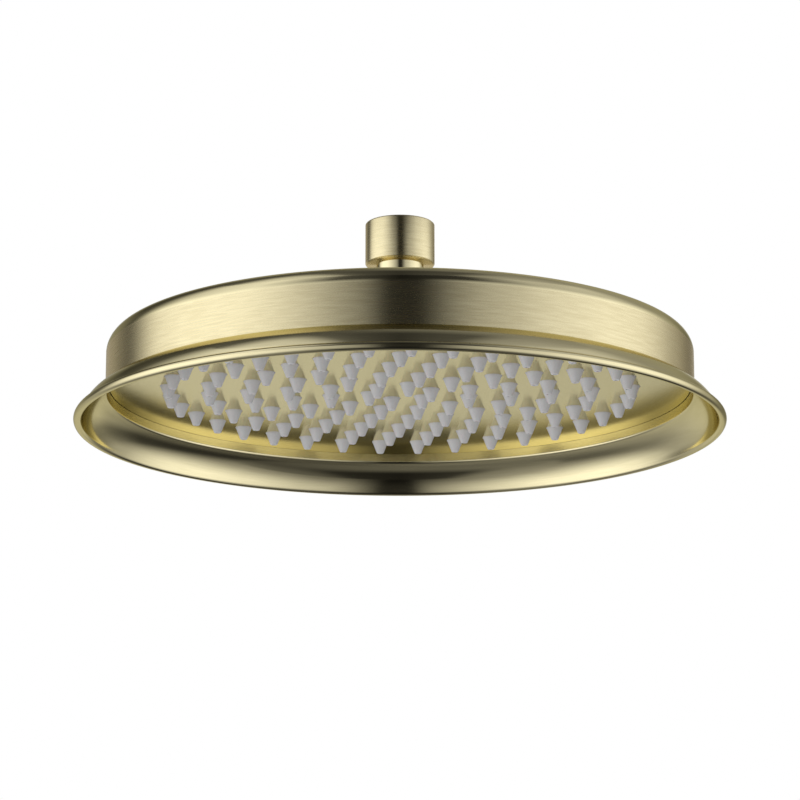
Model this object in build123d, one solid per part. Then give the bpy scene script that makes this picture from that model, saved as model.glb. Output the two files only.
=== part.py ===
"""Overhead shower head on a ball joint, 230 mm across, in brushed brass.

The origin is the centre of the inlet's mouth, on the collar's top face, and +Z points up
the supply pipe. The spray leaves along -Z. All sizes are in millimetres.
"""

import os
from math import asin, atan2, cos, degrees, hypot, radians, sin, sqrt

from build123d import *

# Shell: drum, flare and rolled lip
LIP_R = 115.0  # widest circle of the rolled lip
BEAD_R = 1.5  # half the thickness of the rolled lip
BEAD_SET = 0.23  # middle of the lip outside the end of the flare
FLARE_W = 11.0  # outside of the drum to the widest circle of the lip
DRUM_H = 20.4  # drum's top face to the foot of its wall
DRUM_ROUND = 6.0  # rounding of the drum's top edge
SHELL_WALL = 1.0  # brass sheet
FLARE_START_ANGLE = 18.0  # slope at which the flare leaves the wall, degrees below level
FLARE_DROP = 9.8  # foot of the wall down to the middle of the lip

# Stud: inlet collar, neck and ball
COLLAR_R = 12.4
COLLAR_H = 15.5
COLLAR_EDGE = 0.5
THREAD_R = 10.48  # half-inch pipe thread, major radius
THREAD_DEPTH = 10.2
RELIEF_H = 2.3  # groove behind the thread, in which the washer sits
RELIEF_T = 0.4  # groove deeper than the thread
NECK_R = 8.4
BALL_R = 12.0
BALL_DROP = 29.4  # inlet mouth down to the ball's centre
PASSAGE_R = 5.0  # water passage through neck and ball
TILT_ANGLE = 15.0  # degrees each way

# Pieces inside the inlet
WASHER_H = 2.0
WASHER_HOLE_R = 6.6
WASHER_GAP = 0.2  # washer to the wall of its groove
SCREEN_T = 0.4
SCREEN_RIM_R = 8.4
SCREEN_CUP_R = 5.2
SCREEN_DEPTH = 2.4
REGULATOR_R = 6.0
REGULATOR_H = 5.0
REGULATOR_HOLES = 6
REGULATOR_HOLE_R = 0.8
REGULATOR_WEB = 0.4  # between the ring's pocket and the holes
REGULATOR_RING_R = 2.4  # centre line of the throttling ring
REGULATOR_RING_SECTION_R = 0.7
REGULATOR_CENTRE_R = 1.2

# Ball joint
SEAT_FIT = 0.05  # between faces that seat without slipping
RUN_GAP = 0.3  # between faces that slip on each other
SLIP_RING_T = 1.0
SLIP_RING_TOP_ANGLE = 100.0  # edges of the slip ring, degrees down from +Z
SLIP_RING_FOOT_ANGLE = 120.0
NUT_LIP_MARGIN_ANGLE = 3.0  # degrees left between nut and neck at full tilt
NUT_WALL = 2.6
NUT_TOP_W = 2.0  # width of the nut's top face
NUT_LIP_T = 1.1  # nut's lip above its liner
NUT_FLAT_DEPTH = 1.0  # depth of the two wrench flats
NUT_FOOT_GAP = 0.5  # nut to the socket's flange
SOCKET_WALL = 1.9
SOCKET_RIM_RISE = 1.5  # socket's rim above the ball's centre
SOCKET_FLOOR_T = 1.9  # under the seal
SOCKET_FLANGE_R = 19.0
SOCKET_FLANGE_H = 2.5
SEAL_SECTION_R = 1.0
SEAL_ANGLE = 145.0  # where the seal meets the ball, degrees down from +Z
SHANK_R = 10.48  # half-inch pipe thread
SHANK_BORE_R = 5.5
SHELL_WASHER_H = 1.0

# Water chamber and face
RECESS = 14.2  # lip's lowest edge up to the face of the plate
PLATE_T = 1.2
PLATE_GAP = 0.2  # round the edge of the plate
MAT_T = 1.5
MAT_INSET = 9.8  # edge of the plate to the edge of the mat
MAT_GAP = 0.3  # round the edge of the mat
COVER_T = 2.5
COVER_INSIDE_H = 5.6  # mat to the cover's ceiling
COVER_SEAL_W = 4.5  # width of the mat that the cover clamps
COVER_RIM_W = 7.0  # foot of the cover outside the mat
COVER_BOSS_T = 4.0  # wall round the insert
INSERT_T = 3.5  # wall of the threaded insert
INSERT_LIP_H = 1.0
SHANK_RING_SECTION_R = 0.9
DIFFUSER_T = 1.5
DIFFUSER_LEGS = 4
DIFFUSER_LEG_R = 1.2
DIFFUSER_LEG_H = 2.3
DIFFUSER_EDGE = 0.8  # disc outside its legs
STUD_COUNT = 6
STUD_R = 2.0
STUD_HOLE_GAP = 0.25
STUD_END = 1.2  # stud standing out of its nut
STUD_NUT_H = 3.2
STUD_NUT_ACROSS_FLATS = 7.0
STUD_WASHER_R = 4.0
STUD_WASHER_T = 0.8

# Nozzles
RINGS = 6
FIRST_RING_R = 11.3
NOZZLE_MARGIN = 6.7  # chamber wall to the middle of the outermost nozzles
NOZZLES_PER_STEP = 6  # nozzles that each ring has more than the ring inside it
NOZZLE_LINE_ANGLE = 105.25  # direction on which every ring has a nozzle, degrees from +X
NOZZLE_BASE_R = 3.15  # at the face of the plate
NOZZLE_TIP_R = 1.36
NOZZLE_H = 4.5
NOZZLE_FEED_R = 1.1  # waterway from the chamber
NOZZLE_ORIFICE_R = 0.5
NOZZLE_ORIFICE_H = 1.0

# Heights and radii worked out from the sizes above
BALL_Z = -BALL_DROP
THREAD_END_Z = -THREAD_DEPTH
RELIEF_R = THREAD_R + RELIEF_T
WASHER_SEAT_Z = THREAD_END_Z - RELIEF_H
SCREEN_SEAT_Z = WASHER_SEAT_Z - SCREEN_T
REGULATOR_TOP_Z = SCREEN_SEAT_Z - SCREEN_DEPTH
REGULATOR_SEAT_Z = REGULATOR_TOP_Z - REGULATOR_H

SLIP_IN_R = BALL_R + RUN_GAP
SLIP_OUT_R = SLIP_IN_R + SLIP_RING_T
CAVITY_R = SLIP_OUT_R + RUN_GAP
SOCKET_R = CAVITY_R + SOCKET_WALL
SOCKET_RIM_Z = BALL_Z + SOCKET_RIM_RISE
NUT_R = SOCKET_R + NUT_WALL
NUT_LIP_ANGLE = degrees(asin(NECK_R / BALL_R)) + TILT_ANGLE + NUT_LIP_MARGIN_ANGLE

SEAL_REACH = SLIP_IN_R + SEAL_SECTION_R  # ball's centre to the middle of the seal
SEAL_R = SEAL_REACH * sin(radians(SEAL_ANGLE))
SEAL_Z = BALL_Z + SEAL_REACH * cos(radians(SEAL_ANGLE))
SEAL_SEAT_Z = SEAL_Z - SEAL_SECTION_R

FLANGE_Z = SEAL_SEAT_Z - SOCKET_FLOOR_T
DRUM_R = LIP_R - FLARE_W
DRUM_TOP_Z = FLANGE_Z - SHELL_WASHER_H
DRUM_INSIDE_Z = DRUM_TOP_Z - SHELL_WALL
WALL_FOOT_Z = DRUM_TOP_Z - DRUM_H
LIP_Z = WALL_FOOT_Z - FLARE_DROP

PLATE_Z = LIP_Z - BEAD_R + RECESS
PLATE_R = DRUM_R - SHELL_WALL - PLATE_GAP
MAT_R = PLATE_R - MAT_INSET
MAT_Z = PLATE_Z + PLATE_T
CHAMBER_Z = MAT_Z + MAT_T
CEILING_Z = CHAMBER_Z + COVER_INSIDE_H
COVER_TOP_Z = CEILING_Z + COVER_T
COVER_FOOT_TOP_Z = CHAMBER_Z + COVER_T
COVER_INSIDE_R = MAT_R - COVER_SEAL_W
COVER_RIM_R = MAT_R + COVER_RIM_W
RING_STEP = (COVER_INSIDE_R - NOZZLE_MARGIN - FIRST_RING_R) / (RINGS - 1)
STUD_CIRCLE_R = MAT_R + MAT_GAP + STUD_R + STUD_HOLE_GAP

INSERT_R = SHANK_R + INSERT_T
COVER_BOSS_R = INSERT_R + COVER_BOSS_T
INSERT_LIP_Z = CEILING_Z + INSERT_LIP_H
SHANK_RING_R = SHANK_R - SHANK_RING_SECTION_R - SEAT_FIT
SHANK_RING_Z = INSERT_LIP_Z + SHANK_RING_SECTION_R
SHANK_END_Z = SHANK_RING_Z + SHANK_RING_SECTION_R
DIFFUSER_LEG_CIRCLE_R = INSERT_R + DIFFUSER_LEG_R
DIFFUSER_R = DIFFUSER_LEG_CIRCLE_R + DIFFUSER_LEG_R + DIFFUSER_EDGE
DIFFUSER_TOP_Z = CEILING_Z - DIFFUSER_LEG_H


def turned(outline):
    """Revolve a closed outline of (radius, height) points about the Z axis."""
    return revolve(Plane.XZ * make_face(Polyline(*outline, close=True)), Axis.Z)


def tube(outer_r, inner_r, low_z, high_z):
    """A plain ring between two heights."""
    return turned([(inner_r, low_z), (outer_r, low_z), (outer_r, high_z), (inner_r, high_z)])


def rod(radius, low_z, high_z):
    """An upright round bar between two heights."""
    return Pos(0, 0, low_z) * extrude(Circle(radius), high_z - low_z)


def seal_ring(centre_r, section_r, z):
    """A sealing ring of round section."""
    return Pos(0, 0, z) * Torus(centre_r, section_r)


def ball_about_joint(radius):
    """A full ball about the centre of the ball joint."""
    return Pos(0, 0, BALL_Z) * Sphere(radius)


def on_ball(radius, angle):
    """The (radius, height) of a point on a ball about the joint, degrees down from +Z."""
    return (radius * sin(radians(angle)), BALL_Z + radius * cos(radians(angle)))


def around(count, circle_r, shape, start=0.0):
    """Copies of a shape evenly spaced on a circle."""
    return [Rot(0, 0, start + 360 / count * i) * Pos(circle_r, 0, 0) * shape for i in range(count)]


def over_nozzles(shape):
    """A copy of a shape at each nozzle, ring by ring from the middle."""
    copies = []
    for step in range(RINGS):
        ring_r = FIRST_RING_R + step * RING_STEP
        copies += around(NOZZLES_PER_STEP * (step + 1), ring_r, shape, NOZZLE_LINE_ANGLE)
    return copies


def ball_stud():
    """Threaded collar, neck and hollow ball, turned from one bar."""
    collar = rod(COLLAR_R, -COLLAR_H, 0)
    rims = collar.edges().filter_by(GeomType.CIRCLE)
    stud = chamfer(rims, COLLAR_EDGE) + rod(NECK_R, BALL_Z, -COLLAR_H) + ball_about_joint(BALL_R)
    stud -= rod(THREAD_R, THREAD_END_Z, 0)
    stud -= rod(RELIEF_R, WASHER_SEAT_Z, THREAD_END_Z)
    stud -= rod(SCREEN_RIM_R + SEAT_FIT, SCREEN_SEAT_Z, WASHER_SEAT_Z)
    stud -= rod(REGULATOR_R + SEAT_FIT, REGULATOR_SEAT_Z, SCREEN_SEAT_Z)
    return stud - rod(PASSAGE_R, BALL_Z - BALL_R, REGULATOR_SEAT_Z)


def inlet_washer():
    """Flat rubber washer in the groove behind the inlet thread."""
    return tube(RELIEF_R - WASHER_GAP, WASHER_HOLE_R, WASHER_SEAT_Z, WASHER_SEAT_Z + WASHER_H)


def filter_screen():
    """Strainer cup, hung by its rim under the washer."""
    cup_in_r = SCREEN_CUP_R - SCREEN_T
    cup_floor_z = REGULATOR_TOP_Z + SCREEN_T
    return turned([
        (0, REGULATOR_TOP_Z),
        (SCREEN_CUP_R, REGULATOR_TOP_Z),
        (SCREEN_CUP_R, SCREEN_SEAT_Z),
        (SCREEN_RIM_R, SCREEN_SEAT_Z),
        (SCREEN_RIM_R, WASHER_SEAT_Z),
        (cup_in_r, WASHER_SEAT_Z),
        (cup_in_r, cup_floor_z),
        (0, cup_floor_z),
    ])


def regulator_pocket():
    """Radius and floor of the pocket that holds the throttling ring."""
    radius = REGULATOR_RING_R + REGULATOR_RING_SECTION_R + SEAT_FIT
    return radius, REGULATOR_TOP_Z - 2 * REGULATOR_RING_SECTION_R


def flow_regulator():
    """Plug with a ring of ports and a pocket for its throttling ring."""
    pocket_r, pocket_z = regulator_pocket()
    ports_r = pocket_r + REGULATOR_WEB + REGULATOR_HOLE_R
    plug = rod(REGULATOR_R, REGULATOR_SEAT_Z, REGULATOR_TOP_Z)
    plug -= rod(pocket_r, pocket_z, REGULATOR_TOP_Z)
    plug -= rod(REGULATOR_CENTRE_R, REGULATOR_SEAT_Z, pocket_z)
    port = rod(REGULATOR_HOLE_R, REGULATOR_SEAT_Z, REGULATOR_TOP_Z)
    return plug - around(REGULATOR_HOLES, ports_r, port)


def regulator_o_ring():
    """Ring that throttles the flow as it flattens."""
    pocket_z = regulator_pocket()[1]
    return seal_ring(REGULATOR_RING_R, REGULATOR_RING_SECTION_R, pocket_z + REGULATOR_RING_SECTION_R)


def slip_ring():
    """Ring cut from a hollow ball, which slips on the stud's ball and in the socket."""
    middle = (SLIP_RING_TOP_ANGLE + SLIP_RING_FOOT_ANGLE) / 2
    angles = (SLIP_RING_TOP_ANGLE, middle, SLIP_RING_FOOT_ANGLE)
    inner = [on_ball(SLIP_IN_R, angle) for angle in angles]
    outer = [on_ball(SLIP_OUT_R, angle) for angle in reversed(angles)]
    outline = [
        ThreePointArc(*inner),
        Line(inner[-1], outer[0]),
        ThreePointArc(*outer),
        Line(outer[-1], inner[0]),
    ]
    return revolve(Plane.XZ * make_face(outline), Axis.Z)


def ball_nut():
    """Round nut with wrench flats, whose lip holds the ball in the socket."""
    lip_r, lip_z = on_ball(SLIP_IN_R, NUT_LIP_ANGLE)
    liner_seat_z = lip_z - NUT_LIP_T
    foot_z = FLANGE_Z + SOCKET_FLANGE_H + NUT_FOOT_GAP
    nut = turned([
        (0, foot_z),
        (NUT_R, foot_z),
        (NUT_R, SOCKET_RIM_Z),
        (lip_r + NUT_TOP_W, lip_z),
        (0, lip_z),
    ])
    nut -= rod(SOCKET_R + SEAT_FIT, foot_z, SOCKET_RIM_Z)
    nut -= ball_about_joint(SLIP_IN_R)
    nut -= ball_about_joint(SLIP_OUT_R + SEAT_FIT) & rod(NUT_R, foot_z, liner_seat_z)
    flat = Pos(NUT_R, 0, foot_z) * Box(2 * NUT_FLAT_DEPTH, 2 * NUT_R, 2 * (lip_z - foot_z))
    return nut - around(2, 0, flat)


def nut_liner():
    """Ring in the nut, which keeps its lip off the ball."""
    liner_top_z = on_ball(SLIP_IN_R, NUT_LIP_ANGLE)[1] - NUT_LIP_T - SEAT_FIT
    band = rod(NUT_R, SOCKET_RIM_Z + SEAT_FIT, liner_top_z)
    return (ball_about_joint(SLIP_OUT_R) & band) - ball_about_joint(SLIP_IN_R)


def socket():
    """Cup for the ball, with the flange and the threaded shank that clamp the shell."""
    flange_top_z = FLANGE_Z + SOCKET_FLANGE_H
    body = rod(SOCKET_R, FLANGE_Z, SOCKET_RIM_Z)
    body += rod(SOCKET_FLANGE_R, FLANGE_Z, flange_top_z)
    body += rod(SHANK_R, SHANK_END_Z, FLANGE_Z)
    above_seat = rod(SOCKET_R, SEAL_SEAT_Z, SOCKET_RIM_Z)
    body -= ball_about_joint(CAVITY_R) & above_seat
    body -= rod(SEAL_R + SEAL_SECTION_R + SEAT_FIT, SEAL_SEAT_Z, BALL_Z)
    return body - rod(SHANK_BORE_R, SHANK_END_Z, SEAL_SEAT_Z)


def ball_seal():
    """Rubber ring on the socket's floor, round the foot of the ball."""
    return seal_ring(SEAL_R, SEAL_SECTION_R, SEAL_Z)


def shell_washer():
    """Fibre washer between the socket's flange and the shell."""
    return tube(SOCKET_FLANGE_R, SHANK_R + RUN_GAP, DRUM_TOP_Z, FLANGE_Z)


def body_shell():
    """Drum, flare and rolled lip, spun from one sheet."""
    hole_r = SHANK_R + RUN_GAP
    inside_r = DRUM_R - SHELL_WALL
    bead_r = LIP_R - BEAD_R
    outer_end = (bead_r - BEAD_SET, LIP_Z)

    # The flare bends from its slope at the wall to its end at the lip
    flare_w = outer_end[0] - DRUM_R
    slope = radians(FLARE_START_ANGLE)
    flare_r = hypot(flare_w, FLARE_DROP) / (2 * sin(atan2(FLARE_DROP, flare_w) - slope))
    inner_flare_r = flare_r - SHELL_WALL
    centre_r = DRUM_R - flare_r * sin(slope)
    centre_z = WALL_FOOT_Z - flare_r * cos(slope)
    rise = LIP_Z - centre_z
    inner_end = (centre_r + sqrt(inner_flare_r**2 - rise**2), LIP_Z)
    inner_foot = (inside_r, centre_z + sqrt(inner_flare_r**2 - (inside_r - centre_r) ** 2))

    def flare_arc(radius, start, end):
        angles = [degrees(atan2(z - centre_z, r - centre_r)) for r, z in (start, end)]
        return CenterArc((centre_r, centre_z), radius, angles[0], angles[1] - angles[0])

    round_r = DRUM_R - DRUM_ROUND
    outline = [
        Line((hole_r, DRUM_TOP_Z), (round_r, DRUM_TOP_Z)),
        CenterArc((round_r, DRUM_TOP_Z - DRUM_ROUND), DRUM_ROUND, 90, -90),
        Line((DRUM_R, DRUM_TOP_Z - DRUM_ROUND), (DRUM_R, WALL_FOOT_Z)),
        flare_arc(flare_r, (DRUM_R, WALL_FOOT_Z), outer_end),
        Line(outer_end, inner_end),
        flare_arc(inner_flare_r, inner_end, inner_foot),
        Line(inner_foot, (inside_r, DRUM_TOP_Z - DRUM_ROUND)),
        CenterArc((round_r, DRUM_TOP_Z - DRUM_ROUND), DRUM_ROUND - SHELL_WALL, 0, 90),
        Line((round_r, DRUM_INSIDE_Z), (hole_r, DRUM_INSIDE_Z)),
        Line((hole_r, DRUM_INSIDE_Z), (hole_r, DRUM_TOP_Z)),
    ]
    sheet = make_face(outline)
    sheet = fillet(sheet.vertices().sort_by_distance(inner_foot)[0], SHELL_WALL)
    lip = Pos(bead_r, LIP_Z) * Circle(BEAD_R)
    return revolve(Plane.XZ * (sheet + lip), Axis.Z)


def inlet_insert():
    """Threaded bush in the cover, with a lip under the shank's seal."""
    return turned([
        (SHANK_BORE_R, CEILING_Z),
        (INSERT_R, CEILING_Z),
        (INSERT_R, DRUM_INSIDE_Z),
        (SHANK_R + SEAT_FIT, DRUM_INSIDE_Z),
        (SHANK_R + SEAT_FIT, INSERT_LIP_Z),
        (SHANK_BORE_R, INSERT_LIP_Z),
    ])


def shank_o_ring():
    """Seal between the shank's end and the insert's lip."""
    return seal_ring(SHANK_RING_R, SHANK_RING_SECTION_R, SHANK_RING_Z)


def chamber_cover():
    """Moulded cover of the water chamber, whose boss meets the shell's ceiling."""
    wall_r = COVER_INSIDE_R + COVER_T
    foot_r = MAT_R + MAT_GAP
    cover = turned([
        (INSERT_R, CEILING_Z),
        (COVER_INSIDE_R, CEILING_Z),
        (COVER_INSIDE_R, CHAMBER_Z),
        (foot_r, CHAMBER_Z),
        (foot_r, MAT_Z),
        (COVER_RIM_R, MAT_Z),
        (COVER_RIM_R, COVER_FOOT_TOP_Z),
        (wall_r, COVER_FOOT_TOP_Z),
        (wall_r, COVER_TOP_Z),
        (COVER_BOSS_R, COVER_TOP_Z),
        (COVER_BOSS_R, DRUM_INSIDE_Z),
        (INSERT_R, DRUM_INSIDE_Z),
    ])
    hole = rod(STUD_R + STUD_HOLE_GAP, MAT_Z, COVER_FOOT_TOP_Z)
    return cover - around(STUD_COUNT, STUD_CIRCLE_R, hole)


def diffuser():
    """Splash disc that hangs under the inlet on short legs."""
    disc = rod(DIFFUSER_R, DIFFUSER_TOP_Z - DIFFUSER_T, DIFFUSER_TOP_Z)
    leg = rod(DIFFUSER_LEG_R, DIFFUSER_TOP_Z, CEILING_Z)
    return disc + around(DIFFUSER_LEGS, DIFFUSER_LEG_CIRCLE_R, leg)


def nozzle_mat():
    """Silicone mat with every nozzle moulded on its underside."""
    tip_z = PLATE_Z - NOZZLE_H
    orifice_z = tip_z + NOZZLE_ORIFICE_H
    nozzle = turned([
        (0, tip_z),
        (NOZZLE_TIP_R, tip_z),
        (NOZZLE_BASE_R, PLATE_Z),
        (NOZZLE_BASE_R, MAT_Z),
        (0, MAT_Z),
    ])
    waterway = rod(NOZZLE_ORIFICE_R, tip_z, orifice_z) + rod(NOZZLE_FEED_R, orifice_z, CHAMBER_Z)
    return rod(MAT_R, MAT_Z, CHAMBER_Z) + over_nozzles(nozzle) - over_nozzles(waterway)


def face_plate():
    """Brass disc with a hole for each nozzle and the fixing studs on its back."""
    blank = Circle(PLATE_R) - over_nozzles(Circle(NOZZLE_BASE_R + SEAT_FIT))
    plate = Pos(0, 0, PLATE_Z) * extrude(blank, PLATE_T)
    stud_top_z = COVER_FOOT_TOP_Z + STUD_WASHER_T + STUD_NUT_H + STUD_END
    return plate + around(STUD_COUNT, STUD_CIRCLE_R, rod(STUD_R, MAT_Z, stud_top_z))


def stud_washers():
    """Flat washers on the cover's foot."""
    washer = tube(STUD_WASHER_R, STUD_R + STUD_HOLE_GAP, COVER_FOOT_TOP_Z, COVER_FOOT_TOP_Z + STUD_WASHER_T)
    return Compound(around(STUD_COUNT, STUD_CIRCLE_R, washer))


def stud_nuts():
    """Hexagon nuts that clamp cover, mat and plate together."""
    seat_z = COVER_FOOT_TOP_Z + STUD_WASHER_T
    hexagon = RegularPolygon(STUD_NUT_ACROSS_FLATS / 2, 6, major_radius=False)
    nut = Pos(0, 0, seat_z) * extrude(hexagon - Circle(STUD_R + SEAT_FIT), STUD_NUT_H)
    return Compound(around(STUD_COUNT, STUD_CIRCLE_R, nut))


PIECES = (
    ball_stud,
    inlet_washer,
    filter_screen,
    flow_regulator,
    regulator_o_ring,
    slip_ring,
    ball_nut,
    nut_liner,
    socket,
    ball_seal,
    shell_washer,
    body_shell,
    inlet_insert,
    shank_o_ring,
    chamber_cover,
    diffuser,
    nozzle_mat,
    face_plate,
    stud_washers,
    stud_nuts,
)

os.makedirs("parts", exist_ok=True)
for piece in PIECES:
    export_step(piece(), f"parts/{piece.__name__}.step")
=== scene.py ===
"""Looks, light and camera of a brushed brass overhead shower head.

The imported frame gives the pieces, the bodies they ride on and their sizes. This script puts
finer meshes in place of the pieces that show, dresses every piece, and sets up the studio.
Sizes are in millimetres, and MM turns them into the frame's metres.
"""

import logging
from abc import ABC, abstractmethod
from dataclasses import dataclass
from enum import Enum
from math import acos, asin, atan2, cos, degrees, hypot, pi, radians, sin, sqrt
from typing import Any, ClassVar

import bmesh
import bpy
from bmesh.types import BMEdge, BMesh, BMFace, BMVert
from bpy.types import Material, Node, NodeSocket, NodeTree, Object
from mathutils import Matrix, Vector


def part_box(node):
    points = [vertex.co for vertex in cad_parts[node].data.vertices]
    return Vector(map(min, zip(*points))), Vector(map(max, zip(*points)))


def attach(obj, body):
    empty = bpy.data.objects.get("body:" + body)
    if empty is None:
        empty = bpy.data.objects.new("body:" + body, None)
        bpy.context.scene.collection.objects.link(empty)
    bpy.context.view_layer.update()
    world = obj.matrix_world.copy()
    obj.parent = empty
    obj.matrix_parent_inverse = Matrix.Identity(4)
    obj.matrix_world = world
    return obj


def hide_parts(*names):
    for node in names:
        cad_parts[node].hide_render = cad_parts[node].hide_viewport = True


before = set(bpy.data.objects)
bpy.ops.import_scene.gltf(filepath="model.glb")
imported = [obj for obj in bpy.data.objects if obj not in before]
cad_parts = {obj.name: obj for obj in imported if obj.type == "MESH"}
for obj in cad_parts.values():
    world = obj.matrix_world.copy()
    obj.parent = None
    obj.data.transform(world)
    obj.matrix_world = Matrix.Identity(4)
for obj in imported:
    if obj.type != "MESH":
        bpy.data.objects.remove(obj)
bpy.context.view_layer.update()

LOG = logging.getLogger("shower_head")
MM = 0.001
DEGREE = radians(1)
FULL_TURN = 2 * pi
AXIS = Vector((0.0, 0.0, 1.0))
MERGE = 1e-7  # metres under which two points are one
BALL_Z = -29.4  # height of the ball's middle, about which the head turns
WHITE = "#FFFFFF"

Point = tuple[float, float]  # a radius and a height
Stops = tuple[tuple[float, float], ...]  # places in rising order, each with its tone


class Body(Enum):
    """Bodies of the frame that new pieces ride on."""

    STUD = "stud"
    HEAD = "head"


class Slot(Enum):
    """Names of the record's material slots; no piece in this script takes its finish from them."""

    BRUSHED_BRASS = "brushed_brass"
    PLAIN_BRASS = "plain_brass"
    SILICONE = "silicone"
    FIBRE = "fibre"


class ShellFace(Enum):
    """Kinds of face on the shell, numbered as its materials are."""

    BRUSHED = 0
    SPUN = 1
    # The drum's inner wall, whose deeper gold finish is a painted reflection
    RECESS_PAINTED_REFLECTION = 2


def linear(colour: str) -> tuple[float, float, float, float]:
    """Turn an sRGB hex colour into linear red, green, blue and alpha."""
    shares = [int(colour[i : i + 2], 16) / 255 for i in (1, 3, 5)]
    red, green, blue = (s / 12.92 if s <= 0.04045 else ((s + 0.055) / 1.055) ** 2.4 for s in shares)
    return red, green, blue, 1.0


def add_node(
    tree: NodeTree, kind: str, inputs: dict[str | int, Any], **settings: Any
) -> Node:
    """Add a node with its settings, values and links.

    Args:
        tree: Node tree that takes the node.
        kind: Node type, without the prefix that all shader nodes share.
        inputs: Socket name or number, to a value or to the output that feeds it.
        **settings: Properties of the node.

    Returns:
        The new node.
    """
    node = tree.nodes.new("ShaderNode" + kind)
    for name, value in settings.items():
        setattr(node, name, value)
    for socket, value in inputs.items():
        if isinstance(value, NodeSocket):
            tree.links.new(value, node.inputs[socket])
        else:
            node.inputs[socket].default_value = value
    return node


def empty_material(name: str) -> tuple[Material, NodeTree]:
    """A new material and its cleared node tree."""
    material = bpy.data.materials.new(name)
    material.use_nodes = True
    material.node_tree.nodes.clear()
    return material, material.node_tree


@dataclass(frozen=True)
class Finish(ABC):
    """Two tones in a pattern, which the surface's bump follows too."""

    name: str
    light: str
    dark: str
    roughness: float
    depth_mm: float = 0.02  # of the pattern's bump
    bump: float = 0.3

    def make(self) -> Material:
        """Build the material: the pattern, and the shader that follows it."""
        material, tree = empty_material(self.name)
        tone = self.pattern(tree, add_node(tree, "TexCoord", {}).outputs["Object"])
        tints = {0: tone, 6: linear(self.dark), 7: linear(self.light)}
        relief = {"Strength": self.bump, "Distance": self.depth_mm * MM, "Height": tone}
        surface = {
            "Base Color": add_node(tree, "Mix", tints, data_type="RGBA").outputs[2],
            "Roughness": self.roughness,
            "Normal": add_node(tree, "Bump", relief).outputs[0],
            **self.gloss(tree, tone),
        }
        shader = add_node(tree, "BsdfPrincipled", surface)
        add_node(tree, "OutputMaterial", {"Surface": shader.outputs[0]})
        return material

    @abstractmethod
    def pattern(self, tree: NodeTree, place: NodeSocket) -> NodeSocket:
        """Add the finish's pattern.

        Args:
            tree: Node tree that takes the nodes.
            place: Coordinates on the piece, in metres.

        Returns:
            The output that runs from 0, the dark tone, to 1, the light one.
        """

    @abstractmethod
    def gloss(self, tree: NodeTree, tone: NodeSocket) -> dict[str, Any]:
        """Work out what else the shader takes.

        Args:
            tree: Node tree that takes the nodes.
            tone: The pattern.

        Returns:
            Names of the shader's inputs, each with its value or the output that feeds it.
        """


@dataclass(frozen=True)
class Grained(Finish):
    """Two close tones in a fine grain, whose light spots are the smoother ones."""

    metallic: float = 0.0
    edge_tint: str = WHITE  # of what a metal mirrors at a low angle
    roughness_swing: float = 0.05
    grain_mm: float = 0.6
    detail: float = 4.0  # number of finer grains laid over the first
    detail_share: float = 0.6  # strength of each against the one before
    grain_low: float = 0.3  # most of the grain's values lie between these two
    grain_high: float = 0.7
    subsurface: float = 0.0
    subsurface_mm: float = 1.0

    def pattern(self, tree: NodeTree, place: NodeSocket) -> NodeSocket:
        """Add a grain of spots, with its tones spread out.

        Args:
            tree: Node tree that takes the nodes.
            place: Coordinates on the piece, in metres.

        Returns:
            The output that holds the tone.
        """
        spots = {
            "Vector": place,
            "Scale": 1 / (self.grain_mm * MM),
            "Detail": self.detail,
            "Roughness": self.detail_share,
        }
        grain = add_node(tree, "TexNoise", spots).outputs[0]
        spread = {"Value": grain, 1: self.grain_low, 2: self.grain_high}
        return add_node(tree, "MapRange", spread).outputs[0]

    def gloss(self, tree: NodeTree, tone: NodeSocket) -> dict[str, Any]:
        """Let the roughness follow the grain.

        Args:
            tree: Node tree that takes the nodes.
            tone: The grain.

        Returns:
            Names of the shader's inputs, each with its value or the output that feeds it.
        """
        swing = {
            "Value": tone,
            3: self.roughness + self.roughness_swing,
            4: self.roughness - self.roughness_swing,
        }
        return {
            "Metallic": self.metallic,
            "Roughness": add_node(tree, "MapRange", swing).outputs[0],
            "Specular Tint": linear(self.edge_tint),
            "Subsurface Weight": self.subsurface,
            "Subsurface Scale": self.subsurface_mm * MM,
        }


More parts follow.
